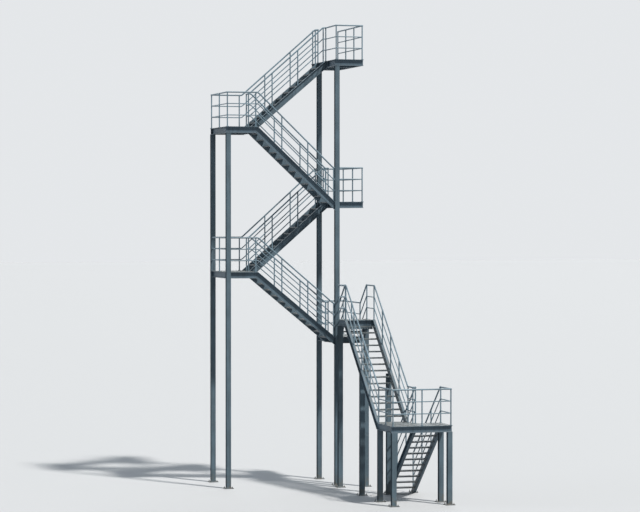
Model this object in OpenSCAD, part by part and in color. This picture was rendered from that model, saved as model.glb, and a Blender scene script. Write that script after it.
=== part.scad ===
// Fire escape stair tower: a dog-leg steel stair between two pairs of columns, with a link
// platform and a lower dog-leg stair in front of it. Millimetres, +Z up, ground at Z = 0.
// Origin: underside of the base plate of the front left column, on the column's axis.

/* [Levels above ground] */
// Floor of the turning landing at the foot of the long flight
turning_level = 2460; // [2360:10:2560]
// Floor of the link platform in front of the tower
link_level = 5520; // [5420:10:5620]
// Floor of the lowest landing inside the tower
base_level = 4910; // [4850:10:4970]
// Floor of the lower left landing
lower_left_level = 7080; // [7000:10:7180]
// Floor of the lower right landing
lower_right_level = 9385; // [9285:5:9485]
// Floor of the upper left landing
upper_left_level = 11840; // [11740:10:11940]
// Floor of the top landing
top_level = 14090; // [13990:10:14190]

/* [Risers in each flight] */
// Top landing down to the upper left landing
top_risers = 11; // [10:1:12]
// Upper left landing down to the lower right landing
upper_risers = 12; // [11:1:13]
// Lower right landing down to the lower left landing
middle_risers = 11; // [10:1:12]
// Lower left landing down to the base landing
lower_risers = 11; // [10:1:12]
// Link platform down to the base landing
link_risers = 3; // [3:1:4]
// Link platform down to the turning landing
long_risers = 16; // [15:1:17]
// Turning landing down to the ground
ground_risers = 12; // [11:1:13]

/* [Plan of the tower] */
// Distance between the column axes, along the front
column_spacing = 3700; // [3600:10:3800]
// Gap between the front lane and the back lane of flights
lane_gap = 200; // [160:10:320]
// Distance that the top landing reaches past the back of the tower
top_reach = 650; // [400:10:900]
// Width of a flight over its stringers
lane_w = 1040; // [980:10:1060]
// Right edge of the left landings, from the left column axis
left_landing_edge = 1000; // [950:10:1050]
// Width of the right landings, from the left face of the right column
right_landing_w = 975; // [900:5:1050]

/* [Link platform and lower stair] */
// Gap between the front of the tower and the link platform
link_gap = 460; // [420:10:500]
// Depth of the link platform
link_depth = 880; // [800:10:1000]
// Depth of the face beam where the long flight leaves the link platform
link_face_h = 290; // [220:10:320]
// Distance over the ground that the link flight covers
link_run = 690; // [640:10:740]
// Distance over the ground that the long flight covers
long_run = 3520; // [3400:10:3600]
// Distance over the ground that the ground flight covers
ground_run = 2880; // [2870:10:3000]
// Depth of the turning landing
turning_depth = 1060; // [1000:10:1200]
// Length by which the turning landing reaches back under the long flight
turning_reach = 480; // [400:10:560]
// Gap between the stringers of the long flight and of the ground flight
flight_gap = 6; // [5:1:20]
// Clearance between the link flight and the front right column
link_clear = 15; // [10:1:25]
// Width of the ground flight over its stringers
ground_lane_w = 910; // [880:10:940]
// Place of the long flight's legs, from the top of the flight
long_leg_at = 1660; // [1400:10:1900]

/* [Rolled sections] */
// Depth of the channels used for beams and stringers
channel_h = 200; // [180:5:220]
// Flange width of the channels
channel_w = 80; // [70:1:85]
// Web thickness of the channels
channel_web = 8; // [6:0.5:10]
// Flange thickness of the channels
channel_flange = 11; // [9:0.5:13]
// Root radius of the channels, between the web and the flanges
channel_root = 12; // [8:1:16]
// Depth and flange width of the columns
column_w = 150; // [140:5:160]
// Web thickness of the columns
column_web = 7; // [6:0.5:10]
// Flange thickness of the columns
column_flange = 10; // [8:0.5:14]
// Root radius of the columns
column_root = 11; // [8:1:16]

/* [Plates] */
// Thickness of the deck plates
deck_t = 6; // [4:0.5:8]
// Thickness of a folded tread
tread_t = 5; // [4:0.5:6]
// Depth of the folds along a tread's two long edges
tread_fold = 40; // [30:1:50]
// Length by which a tread tucks under the one above
tread_overlap = 25; // [15:1:35]
// Thickness of the link flight's plate stringers
plate_stringer_t = 12; // [10:1:16]
// Size of a column's base plate
base_plate_w = 300; // [280:5:330]
// Thickness of a base plate
base_plate_t = 20; // [12:1:25]
// Depth of a column's cap plate, from front to back
cap_w = 170; // [160:5:190]
// Thickness of a cap plate
cap_t = 12; // [8:1:16]
// Thickness of the plates that close a column's open side where a beam or a rail meets it
side_plate_t = 10; // [6:1:14]
// Height of such a plate behind a rail
rail_plate_h = 70; // [60:5:90]
// Depth of the flat bars that stiffen the decks
deck_bar_h = 60; // [40:5:80]
// Thickness of those bars
deck_bar_t = 8; // [6:1:12]
// Radius of an anchor bolt hole
anchor_hole_r = 11; // [9:0.5:13]
// Distance between the anchor bolt holes
anchor_spacing = 220; // [200:5:230]
// Width of the plate under a stair foot
foot_plate_w = 200; // [190:5:220]
// Distance that the plate under a stair foot reaches past it, at each end
foot_plate_past = 35; // [20:1:40]
// Distance from the edge of that plate to its anchor bolt holes
foot_hole_in = 25; // [22:1:30]
// Clearance between a deck plate and a column that passes it
deck_gap = 3; // [2:0.5:6]

/* [Guard rails] */
// Height of the top rail's centre line above a floor
guard_h = 1120; // [1050:5:1150]
// Number of rails, the top rail included
guard_rails = 3; // [2:1:4]
// Diameter of the top rails
top_rail_d = 48; // [46:1:52]
// Diameter of the middle rails
mid_rail_d = 34; // [27:1:38]
// Diameter of the posts
post_d = 42; // [38:1:45]
// Distance from the landing's edge to its last post
edge_post_in = 80; // [60:1:100]
// Distance from the right landings' edge to the flight's end post
end_post_out = 50; // [40:1:60]
// Gap left for the weld where two panels meet
weld_gap = 0.5; // [0.3:0.1:0.8]

/* [Hidden] */
STEEL = [0.40, 0.47, 0.51];
RAIL = [0.47, 0.55, 0.60];
PLATE = [0.36, 0.42, 0.46];

half_col = column_w / 2;
frame_drop = deck_t + channel_h;
sides = 8;
overcut = 1;
beyond = 1000;
let_in = 1;

// Plan lines of the tower
front_y = -half_col;
back_y = front_y + 2 * lane_w + lane_gap;
back_col_y = back_y - half_col;
front_lane_in = front_y + lane_w;
back_lane_in = back_y - lane_w;
left_x = -half_col;
right_x0 = column_spacing - half_col;
right_x1 = right_x0 + right_landing_w;
top_back_y = back_y + top_reach;
run = right_x0 - left_landing_edge;

// Plan lines of the link platform and the lower stair
link_y1 = front_y - link_gap;
link_y0 = link_y1 - link_depth;
long_x0 = right_x1 - lane_w;
turning_y2 = link_y0 - long_run;
turning_y1 = turning_y2 - turning_reach;
turning_y0 = turning_y1 - turning_depth;
ground_x0 = right_x1 + flight_gap;
ground_x1 = ground_x0 + ground_lane_w;
long_leg_y = link_y0 - long_leg_at;
link_leg_y = link_y1 - half_col;
link_stringer_x = column_spacing + half_col + link_clear;

// Guard lines run over the middle of the channels' flanges
rail_in = channel_w / 2;
post_r = post_d / 2;
top_rail_r = top_rail_d / 2;
bay = (right_x0 - end_post_out - (left_landing_edge - edge_post_in)) / 3;

function angle(run, drop) = atan2(drop, run);
function mitre(run, drop) = channel_h * tan(angle(run, drop) / 2);

// Upright plate between two Y planes, from an outline in X and Z
module upright(outline, y0, y1) {
  translate([0, y1, 0]) rotate([90, 0, 0]) linear_extrude(y1 - y0) polygon(outline);
}

// Space between two flanges, w by h, with the root radii at its two corners on X = 0
module pocket(w, h, root) {
  translate([root, 0]) square([w - root, h]);
  translate([0, root]) square([w, h - 2 * root]);
  for (y = [root, h - root]) translate([root, y]) circle(root, $fn = 32);
}

// Channel section with its top at Y = 0, the back of its web on X = 0 and its toes towards +X
module channel_section(depth) {
  difference() {
    translate([0, -depth]) square([channel_w, depth]);
    translate([channel_web, channel_flange - depth])
      pocket(channel_w, depth - 2 * channel_flange, channel_root);
  }
}

// Channel that fills y0 to y0 + channel_w, with its toes towards +Y or -Y. Its top edge runs from
// a to b in X and Z, and it is cut off along the lines from a to c and from b to d below them.
module channel(a, b, d, c, y0, toes, depth = channel_h) {
  intersection() {
    upright([2 * a - c, 2 * b - d, 2 * d - b, 2 * c - a], y0 - overcut, y0 + channel_w + overcut);
    translate([a.x, toes > 0 ? y0 : y0 + channel_w, a.y]) rotate([0, angle(b.x - a.x, a.y - b.y), 0])
      translate([-beyond, 0, 0]) rotate([90, 0, 90]) linear_extrude(norm(b - a) + 2 * beyond)
        mirror([toes > 0 ? 0 : 1, 0]) channel_section(depth);
  }
}

// Level channel along X from x0 to x1 with its top at Z = 0. cut0 and cut1 move the bottom
// corners, for mitres.
module beam_x(x0, x1, y0, toes, cut0 = 0, cut1 = 0, depth = channel_h) {
  channel([x0, 0], [x1, 0], [x1 + cut1, -depth], [x0 + cut0, -depth], y0, toes, depth);
}

// The same along Y: it fills x0 to x0 + channel_w, with its toes towards +X or -X
module beam_y(y0, y1, x0, toes, cut0 = 0, cut1 = 0, depth = channel_h) {
  translate([x0, 0, 0]) rotate([0, 0, 90]) translate([0, -channel_w, 0])
    beam_x(y0, y1, 0, -toes, cut0, cut1, depth);
}

// Column section with its flanges facing front and back
module column_section() {
  inner_h = column_w - 2 * column_flange;
  difference() {
    square(column_w, center = true);
    for (side = [0, 1]) mirror([side, 0]) translate([column_web / 2, -inner_h / 2])
      pocket(column_w, inner_h, column_root);
  }
}

// Column with its cap plate. joints lists what meets its open sides: the side, -1 for left or 1
// for right, the floor level, the height of the beam's end, and whether rails meet it as well.
module column(x, y, top, joints) {
  inner_w = column_w - 2 * column_flange + 2 * let_in;
  color(STEEL) translate([x, y, 0]) {
    translate([0, 0, base_plate_t]) linear_extrude(top - cap_t - base_plate_t) column_section();
    translate([-half_col, -cap_w / 2, top - cap_t]) cube([column_w, cap_w, cap_t]);
    for (joint = joints) {
      x0 = joint[0] > 0 ? half_col - side_plate_t : -half_col;
      translate([x0, -inner_w / 2, joint[1] - deck_t - joint[2]])
        cube([side_plate_t, inner_w, joint[2]]);
      if (joint[3]) for (k = [1:guard_rails])
        translate([x0, -inner_w / 2, joint[1] + guard_h * k / guard_rails - rail_plate_h / 2])
          cube([side_plate_t, inner_w, rail_plate_h]);
    }
  }
}

// Column that stops under its top beam without a cap
module plain_column(x, y, top) {
  color(STEEL) translate([x, y, base_plate_t])
    linear_extrude(top - base_plate_t) column_section();
}

module base_plate(x, y, w, d, spacing_x, spacing_y) {
  color(PLATE) translate([x, y, 0]) difference() {
    translate([-w / 2, -d / 2, 0]) cube([w, d, base_plate_t]);
    for (sx = [-1, 1], sy = [-1, 1])
      translate([sx * spacing_x / 2, sy * spacing_y / 2, -overcut])
        cylinder(r = anchor_hole_r, h = base_plate_t + 2 * overcut, $fn = 48);
  }
}

function way(a, b) = (b - a) / norm(b - a);

// Ring of a bar of few sides at point i of a line in the plane Y = 0, mitred where the line bends
function ring(line, i, d) =
  let (last = len(line) - 2, r = d / 2 / cos(180 / sides),
       ahead = way(line[min(i, last)], line[min(i, last) + 1]),
       behind = way(line[max(i, 1) - 1], line[max(i, 1)]),
       side = [-ahead.y, ahead.x], cut = ahead + behind,
       out = side - ahead * (side * cut) / (ahead * cut))
  [for (k = [0:sides - 1])
    let (turn = 360 * (k + 0.5) / sides, p = line[i] + r * cos(turn) * out) [p.x, r * sin(turn), p.y]];

module bar(line, d) {
  last = len(line) - 1;
  polyhedron(
    points = [for (i = [0:last]) each ring(line, i, d)],
    faces = concat(
      [[for (k = [sides - 1:-1:0]) k], [for (k = [0:sides - 1]) last * sides + k]],
      [for (i = [0:last - 1], k = [0:sides - 1])
        let (a = i * sides, b = a + sides, next = (k + 1) % sides) [a + k, a + next, b + next, b + k]]
    )
  );
}

// The rails of a panel, each following the same line at its own height. The ends of the line are
// where the middle rails stop. The top rail is thicker, so it stops a little earlier beside a
// post of another panel, and runs on over the panel's own end posts.
module rails(line, on_post0 = false, on_post1 = false) {
  last = len(line) - 1;
  short = top_rail_r - post_r;
  for (k = [1:guard_rails]) {
    up = [0, guard_h * k / guard_rails];
    is_top = k == guard_rails;
    start = way(line[0], line[1]) * (is_top ? (on_post0 ? -top_rail_r : short) : 0);
    end = way(line[last - 1], line[last]) * (is_top ? (on_post1 ? top_rail_r : -short) : 0);
    bar([for (i = [0:last]) line[i] + up + (i == 0 ? start : i == last ? end : [0, 0])],
        is_top ? top_rail_d : mid_rail_d);
  }
}

// Level panel from u0 to u1 with posts at the given places
module level_panel(u0, u1, posts) {
  rails([[u0, 0], [u1, 0]], posts[0] == u0, posts[len(posts) - 1] == u1);
  for (u = posts) bar([[u, 0], [u, guard_h]], post_d);
}

// Panel along X at y, or along Y at x
module panel_x(u0, u1, posts, y) { translate([0, y, 0]) level_panel(u0, u1, posts); }
module panel_y(u0, u1, posts, x) {
  translate([x, 0, 0]) rotate([0, 0, 90]) level_panel(u0, u1, posts);
}

// Side outline of a stringer. cut0 and cut1 say how its ends are cut: "mitre" against a level
// beam, "plumb" against an upright face, or "foot" where it stands on a floor.
function stringer_line(run, drop, cut0, cut1, foot_up) =
  let (a = angle(run, drop), m = mitre(run, drop), plumb = plumb_h(run, drop),
       foot_x = run - foot_up / tan(a))
  [
    [0, 0],
    cut1 == "foot" ? [foot_x, foot_up - drop] : [run, -drop],
    cut1 == "mitre" ? [run - m, -drop - channel_h]
      : cut1 == "plumb" ? [run, -drop - plumb] : [foot_x - channel_h / sin(a), foot_up - drop],
    cut0 == "mitre" ? [-m, -channel_h] : [0, -plumb]
  ];

// Both stringers of a flight that goes down along +X from the origin, in its own frame:
// the upper floor is at Z = 0 and the flight fills Y from 0 to width
module stringers(run, drop, width, near, far, foot_up = 0) {
  color(STEEL) translate([0, 0, -deck_t]) for (side = [0, 1]) {
    cuts = side == 0 ? near : far;
    line = stringer_line(run, drop, cuts[0], cuts[1], foot_up);
    channel(line[0], line[1], line[2], line[3], side * (width - channel_w), side * 2 - 1);
  }
}

// Folded treads, the last one level with the lower floor unless the flight stands on it
module treads(run, drop, width, risers, wall, last) {
  going = run / risers;
  color(PLATE) for (i = [1:last]) {
    back = (i - 1) * going - (i > 1 ? tread_overlap : 0);
    translate([back, wall, -i * drop / risers - tread_fold]) difference() {
      cube([i * going - back, width - 2 * wall, tread_fold]);
      translate([tread_t, -overcut, -overcut])
        cube([i * going - back - 2 * tread_t, width - 2 * wall + 2 * overcut,
              tread_fold - tread_t + overcut]);
    }
  }
}

// One guard of a flight: rails along the line, and posts that stand on the stringer
module flight_guard(run, drop, line, posts) {
  slope = drop / run;
  rails(line, false, posts[len(posts) - 1] == line[len(line) - 1].x);
  for (x = posts) {
    foot = -slope * x - deck_t;
    difference() {
      bar([[x, foot - post_d], [x, line_z(line, x) + guard_h]], post_d);
      upright([[x - post_d, foot + slope * post_d], [x + post_d, foot - slope * post_d],
               [x + post_d, foot - beyond], [x - post_d, foot - beyond]], -post_d, post_d);
    }
  }
}

// Height of a guard line at x
function line_z(line, x, i = 0) =
  i >= len(line) - 2 || x < line[i + 1].x
    ? line[i].y + (line[i + 1].y - line[i].y) * (x - line[i].x) / (line[i + 1].x - line[i].x)
    : line_z(line, x, i + 1);

// The two guards of a flight
module flight_guards(run, drop, width, near, far, posts) {
  color(RAIL) for (side = [0, 1]) {
    line = side == 0 ? near : far;
    translate([0, side == 0 ? rail_in : width - rail_in, 0])
      flight_guard(run, drop, line, posts);
  }
}

function plumb_h(run, drop) = channel_h / cos(angle(run, drop));

// Where each flight lies: its upper edge becomes the origin and it goes down along +X
module at_top_flight() { translate([right_x0, back_lane_in, top_level]) mirror([1, 0, 0]) children(); }
module at_upper_flight() { translate([left_landing_edge, front_y, upper_left_level]) children(); }
module at_middle_flight() {
  translate([right_x0, back_lane_in, lower_right_level]) mirror([1, 0, 0]) children();
}
module at_lower_flight() { translate([left_landing_edge, front_y, lower_left_level]) children(); }
module at_link_flight() {
  translate([right_x1, link_y1, link_level]) rotate([0, 0, 90]) children();
}
module at_long_flight() {
  translate([long_x0, link_y0, link_level]) rotate([0, 0, -90]) children();
}
module at_ground_flight() {
  translate([ground_x1, turning_y1, turning_level]) rotate([0, 0, 90]) children();
}

top_drop = top_level - upper_left_level;
upper_drop = upper_left_level - lower_right_level;
middle_drop = lower_right_level - lower_left_level;
lower_drop = lower_left_level - base_level;
link_drop = link_level - base_level;
long_drop = link_level - turning_level;

// What meets the open sides of the columns: the side, the level, the end's height, rails or none
left_joints = [[1, lower_left_level, channel_h, true]];
front_right_joints = [
  [1, lower_right_level, channel_h, true], [1, base_level, channel_h, false],
  [-1, lower_right_level, plumb_h(run, upper_drop), true],
  [-1, base_level, plumb_h(run, lower_drop), true]
];
back_right_joints = [
  [1, lower_right_level, channel_h, true], [1, base_level, channel_h, true],
  [-1, lower_right_level, plumb_h(run, middle_drop), true]
];

// Where a beam ends that is let into the back of another beam's web, from the toes of that beam
web_back = channel_w - let_in;

// Flat bars under a deck, along X from x0 to x1
module deck_bars(x0, x1, ys) {
  for (y = ys) translate([x0, y - deck_bar_t / 2, -deck_bar_h])
    cube([x1 - x0, deck_bar_t, deck_bar_h]);
}
lane_bars = [(front_y + front_lane_in) / 2, (back_y + back_lane_in) / 2];

// Frame of a left landing, from the drops of the flight that ends here and the one that starts here
module left_landing_frame(level, up_drop, down_drop, passed) {
  up = mitre(run, up_drop);
  down = -mitre(run, down_drop);
  x0 = passed ? half_col : left_x;
  x1 = left_landing_edge;
  side0 = passed ? half_col : front_y + web_back;
  side1 = passed ? back_col_y - half_col : back_y - web_back;
  color(STEEL) translate([0, 0, level - deck_t]) {
    beam_x(x0, x1, front_y, -1, 0, down);
    beam_x(left_x + web_back, x1, front_lane_in - channel_w, 1, 0, down);
    beam_x(left_x + web_back, x1, back_lane_in, -1, 0, up);
    beam_x(x0, x1, back_y - channel_w, 1, 0, up);
    beam_y(side0, side1, left_x, -1);
    beam_y(front_y + web_back, front_lane_in - web_back, x1 - channel_w, 1);
    beam_y(back_lane_in + web_back, back_y - web_back, x1 - channel_w, 1);
    deck_bars(left_x + web_back, x1 - web_back, lane_bars);
  }
}

// Frame of a right landing: front_cut and back_cut move the bottom corners of the inner beams
module right_landing_frame(level, front_cut, back_cut, passed) {
  x0 = passed ? column_spacing + half_col : right_x0;
  edge0 = passed ? half_col : front_y + web_back;
  edge1 = passed ? back_col_y - half_col : back_y - web_back;
  color(STEEL) translate([0, 0, level - deck_t]) {
    beam_x(x0, right_x1, front_y, -1);
    beam_x(right_x0, right_x1 - web_back, front_lane_in - channel_w, 1, front_cut);
    beam_x(right_x0, right_x1 - web_back, back_lane_in, -1, back_cut);
    beam_x(x0, right_x1, back_y - channel_w, 1);
    beam_y(front_y + web_back, back_y - web_back, right_x1 - channel_w, 1);
    beam_y(edge0, front_lane_in - web_back, right_x0, -1);
    beam_y(back_lane_in + web_back, edge1, right_x0, -1);
    deck_bars(right_x0 + web_back, right_x1 - web_back, lane_bars);
  }
}

module top_landing_frame() {
  right_landing_frame(top_level, 0, mitre(run, top_drop), false);
  color(STEEL) translate([0, 0, top_level - deck_t]) {
    beam_y(back_y - web_back, top_back_y - web_back, right_x0, -1);
    beam_y(back_y - web_back, top_back_y - web_back, right_x1 - channel_w, 1);
    beam_x(right_x0, right_x1, top_back_y - channel_w, 1);
    deck_bars(right_x0 + web_back, right_x1 - web_back, [(back_y + top_back_y - channel_w) / 2]);
  }
}

module link_platform_frame() {
  down = mitre(long_run, long_drop);
  color(STEEL) translate([0, 0, link_level - deck_t]) {
    beam_y(link_y0, link_y1, long_x0, -1, down, 0);
    beam_y(link_y0, link_y1, right_x1 - channel_w, 1, down, 0);
    beam_x(long_x0 + web_back, right_x1 - web_back, link_y0, -1, depth = link_face_h);
    beam_x(long_x0 + web_back, right_x1 - web_back, link_y1 - channel_w, 1);
    deck_bars(long_x0 + web_back, right_x1 - web_back, [(link_y0 + link_y1) / 2]);
  }
}

module turning_landing_frame() {
  up = mitre(long_run, long_drop);
  down = -mitre(ground_run, turning_level);
  color(STEEL) translate([0, 0, turning_level - deck_t]) {
    beam_y(turning_y0 + web_back, turning_y2, long_x0, -1, 0, up);
    beam_y(turning_y0 + web_back, turning_y2, right_x1 - channel_w, 1, 0, up);
    beam_y(turning_y0 + web_back, turning_y1, ground_x0, -1, 0, down);
    beam_y(turning_y0 + web_back, turning_y1, ground_x1 - channel_w, 1, 0, down);
    beam_x(long_x0, ground_x1, turning_y0, -1);
    beam_x(long_x0 + web_back, right_x1 - web_back, turning_y2 - channel_w, 1);
    beam_x(ground_x0 + web_back, ground_x1 - web_back, turning_y1 - channel_w, 1);
    deck_bars(long_x0 + web_back, right_x1 - web_back, [(turning_y0 + turning_y1) / 2]);
    deck_bars(ground_x0 + web_back, ground_x1 - web_back, [(turning_y0 + turning_y1) / 2]);
  }
}

// Deck plate of a tower landing, notched where columns pass it
module tower_deck(x0, x1, y1, level, column_x, passed) {
  gap = half_col + deck_gap;
  color(PLATE) translate([0, 0, level - deck_t]) difference() {
    translate([x0, front_y, 0]) cube([x1 - x0, y1 - front_y, deck_t]);
    if (passed) for (y = [0, back_col_y])
      translate([column_x - gap, y - gap, -overcut])
        cube([2 * gap, 2 * gap, deck_t + 2 * overcut]);
  }
}

module tower_decks() {
  tower_deck(right_x0, right_x1, top_back_y, top_level, column_spacing, false);
  tower_deck(left_x, left_landing_edge, back_y, upper_left_level, 0, false);
  tower_deck(right_x0, right_x1, back_y, lower_right_level, column_spacing, true);
  tower_deck(left_x, left_landing_edge, back_y, lower_left_level, 0, true);
  tower_deck(right_x0, right_x1, back_y, base_level, column_spacing, true);
}

module link_platform_deck() {
  color(PLATE) translate([long_x0, link_y0, link_level - deck_t])
    cube([lane_w, link_depth, deck_t]);
}

module turning_landing_deck() {
  color(PLATE) translate([0, 0, turning_level - deck_t]) linear_extrude(deck_t)
    polygon([[long_x0, turning_y0], [ground_x1, turning_y0], [ground_x1, turning_y1],
             [right_x1, turning_y1], [right_x1, turning_y2], [long_x0, turning_y2]]);
}

// Leg under the long flight, cut to the slope of the stringer
module long_flight_leg(x) {
  slope = long_drop / long_run;
  under = link_level - deck_t - plumb_h(long_run, long_drop);
  z0 = under - slope * (long_leg_at - half_col);
  z1 = under - slope * (long_leg_at + half_col);
  color(STEEL) difference() {
    translate([x, long_leg_y, base_plate_t]) linear_extrude(z0 - base_plate_t) column_section();
    translate([x, 0, 0]) rotate([0, 0, 90])
      upright([[long_leg_y - column_w, z1 - slope * half_col],
               [long_leg_y + column_w, z0 + slope * half_col],
               [long_leg_y + column_w, z0 + column_w], [long_leg_y - column_w, z0 + column_w]],
              -column_w, column_w);
  }
}

module long_flight_legs() {
  long_flight_leg(long_x0 + half_col);
  long_flight_leg(right_x1 - half_col);
}

module link_platform_legs() {
  plain_column(long_x0 + half_col, link_leg_y, link_level - frame_drop);
  plain_column(right_x1 - half_col, link_leg_y, link_level - frame_drop);
}

turning_leg_far_y = turning_y1 - mitre(ground_run, turning_level) - half_col - deck_gap;
turning_legs = [
  [long_x0 + half_col, turning_y0 + half_col],
  [ground_x1 - half_col, turning_y0 + half_col],
  [ground_x1 - half_col, turning_leg_far_y],
  [long_x0 + half_col, turning_y2 - half_col]
];

module turning_landing_legs() {
  for (p = turning_legs) plain_column(p.x, p.y, turning_level - frame_drop);
}

// Feet of the ground flight, under the cut ends of its stringers
foot_slope = angle(ground_run, turning_level);
foot_up = base_plate_t + deck_t;
foot_len = channel_h / sin(foot_slope);
foot_y = turning_y1 + ground_run - foot_up / tan(foot_slope) - foot_len / 2;
foot_plate_l = foot_len + 2 * foot_plate_past;

module base_plates() {
  for (x = [0, column_spacing], y = [0, back_col_y])
    base_plate(x, y, base_plate_w, base_plate_w, anchor_spacing, anchor_spacing);
  for (x = [long_x0 + half_col, right_x1 - half_col], y = [long_leg_y, link_leg_y])
    base_plate(x, y, base_plate_w, base_plate_w, anchor_spacing, anchor_spacing);
  for (p = turning_legs)
    base_plate(p.x, p.y, base_plate_w, base_plate_w, anchor_spacing, anchor_spacing);
  for (x = [ground_x0 + rail_in, ground_x1 - rail_in])
    base_plate(x, foot_y, foot_plate_w, foot_plate_l, foot_plate_w - 2 * foot_hole_in,
               foot_plate_l - 2 * foot_hole_in);
}

module top_flight_stringers() {
  at_top_flight() stringers(run, top_drop, lane_w, ["mitre", "mitre"], ["plumb", "mitre"]);
}
module upper_flight_stringers() {
  at_upper_flight() stringers(run, upper_drop, lane_w, ["mitre", "plumb"], ["mitre", "mitre"]);
}
module middle_flight_stringers() {
  at_middle_flight() stringers(run, middle_drop, lane_w, ["mitre", "mitre"], ["plumb", "mitre"]);
}
module lower_flight_stringers() {
  at_lower_flight() stringers(run, lower_drop, lane_w, ["mitre", "plumb"], ["mitre", "mitre"]);
}
module long_flight_stringers() {
  at_long_flight() stringers(long_run, long_drop, lane_w, ["mitre", "mitre"], ["mitre", "mitre"]);
}
module ground_flight_stringers() {
  at_ground_flight() stringers(ground_run, turning_level, ground_lane_w,
                               ["mitre", "foot"], ["mitre", "foot"], foot_up);
}

// The link flight has plate stringers, so that it passes beside the front right column
link_near = channel_w - plate_stringer_t;
link_far = right_x1 - link_stringer_x - plate_stringer_t;
module link_flight_stringers() {
  line = stringer_line(link_run, link_drop, "plumb", "foot", deck_t);
  color(STEEL) at_link_flight() translate([0, 0, -deck_t]) for (y = [link_near, link_far])
    upright(line, y, y + plate_stringer_t);
}

module top_flight_treads() {
  at_top_flight() treads(run, top_drop, lane_w, top_risers, channel_w, top_risers);
}
module upper_flight_treads() {
  at_upper_flight() treads(run, upper_drop, lane_w, upper_risers, channel_w, upper_risers);
}
module middle_flight_treads() {
  at_middle_flight() treads(run, middle_drop, lane_w, middle_risers, channel_w, middle_risers);
}
module lower_flight_treads() {
  at_lower_flight() treads(run, lower_drop, lane_w, lower_risers, channel_w, lower_risers);
}
module long_flight_treads() {
  at_long_flight() treads(long_run, long_drop, lane_w, long_risers, channel_w, long_risers);
}
module ground_flight_treads() {
  at_ground_flight()
    treads(ground_run, turning_level, ground_lane_w, ground_risers, channel_w, ground_risers - 1);
}
module link_flight_treads() {
  at_link_flight() translate([0, link_near, 0])
    treads(link_run, link_drop, link_far + plate_stringer_t - link_near, link_risers,
           plate_stringer_t, link_risers - 1);
}

// Lines of the tower flights' guards: level past the landing post, then down to the other floor.
// Both ends bend at the same plan lines, so a flight that goes down to the right and one that
// goes down to the left are mirror images.
bend_out = end_post_out + post_r / 2;
at_post = post_r + weld_gap - rail_in;
function down_right_line(drop, past) =
  [[post_r + weld_gap - edge_post_in, 0], [0, 0], [run - bend_out, -drop], [run - past, -drop]];
function down_left_line(drop, past) =
  [[past, 0], [bend_out, 0], [run, -drop], [run + edge_post_in - post_r - weld_gap, -drop]];
right_posts = [for (k = [1:3]) k * bay - edge_post_in];
left_posts = [for (k = [1:3]) run + edge_post_in - k * bay];

module top_flight_guards() {
  at_top_flight() flight_guards(run, top_drop, lane_w, down_left_line(top_drop, at_post),
                                down_left_line(top_drop, at_post), left_posts);
}
module upper_flight_guards() {
  at_upper_flight() flight_guards(run, upper_drop, lane_w, down_right_line(upper_drop, weld_gap),
                                  down_right_line(upper_drop, at_post), right_posts);
}
module middle_flight_guards() {
  at_middle_flight() flight_guards(run, middle_drop, lane_w, down_left_line(middle_drop, at_post),
                                   down_left_line(middle_drop, weld_gap), left_posts);
}
module lower_flight_guards() {
  at_lower_flight() flight_guards(run, lower_drop, lane_w, down_right_line(lower_drop, weld_gap),
                                  down_right_line(lower_drop, at_post), right_posts);
}

long_line = [[at_post, 0], [0, 0], [long_run, -long_drop], [long_run - at_post, -long_drop]];
long_bays = 4;
module long_flight_guards() {
  at_long_flight() flight_guards(long_run, long_drop, lane_w, long_line, long_line,
    [for (k = [1:long_bays - 1]) k * long_run / long_bays]);
}

ground_end = ground_run - foot_len / 2;
ground_line = [[at_post, 0], [0, 0], [ground_end, -turning_level * ground_end / ground_run]];
ground_bays = 3;
module ground_flight_guards() {
  at_ground_flight() flight_guards(ground_run, turning_level, ground_lane_w, ground_line,
    ground_line, [for (k = [1:ground_bays]) k * ground_end / ground_bays]);
}

link_line = [[at_post, 0], [0, 0], [link_run, -link_drop], [link_run - at_post, -link_drop]];
module link_flight_guards() {
  color(RAIL) at_link_flight() for (y = [rail_in, link_far - post_r])
    translate([0, y, 0]) rails(link_line);
}

// Guard lines of the landings
rail_front = front_y + rail_in;
rail_back = back_y - rail_in;
rail_left = left_x + rail_in;
rail_right = right_x1 - rail_in;
post_left_edge = left_landing_edge - edge_post_in;
post_right_edge = right_x0 + rail_in;
lane_rail_front = front_lane_in - rail_in;
lane_rail_back = back_lane_in + rail_in;
butt = post_r + weld_gap;

// Left guard line of the link flight, clear of the column
link_post_x = right_x1 - link_far + post_r;

// Inner posts that split a stretch into bays of about the tower's bay
function between(u0, u1) =
  let (n = max(1, round((u1 - u0) / bay))) [for (k = [1:1:n - 1]) u0 + k * (u1 - u0) / n];

module top_landing_guards() {
  back = top_back_y - rail_in;
  color(RAIL) translate([0, 0, top_level]) {
    panel_x(post_right_edge, rail_right, [post_right_edge, rail_right], rail_front);
    panel_y(rail_front + butt, back, concat(between(rail_front, back), [back]), rail_right);
    panel_y(rail_front + butt, lane_rail_back,
            concat(between(rail_front, lane_rail_back), [lane_rail_back]), post_right_edge);
    panel_y(rail_back, back, [rail_back, back], post_right_edge);
  }
}

module left_landing_guards(level, passed) {
  x0 = passed ? half_col + weld_gap : rail_left;
  y0 = passed ? half_col + weld_gap : rail_front + butt;
  y1 = passed ? back_col_y - half_col - weld_gap : rail_back - butt;
  ends = passed ? [] : [rail_left];
  color(RAIL) translate([0, 0, level]) {
    panel_x(x0, post_left_edge, concat(ends, [post_left_edge]), rail_front);
    panel_x(x0, post_left_edge, concat(ends, [post_left_edge]), rail_back);
    panel_y(y0, y1, between(rail_front, rail_back), rail_left);
    panel_y(lane_rail_front, lane_rail_back, [lane_rail_front, lane_rail_back], post_left_edge);
  }
}

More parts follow.
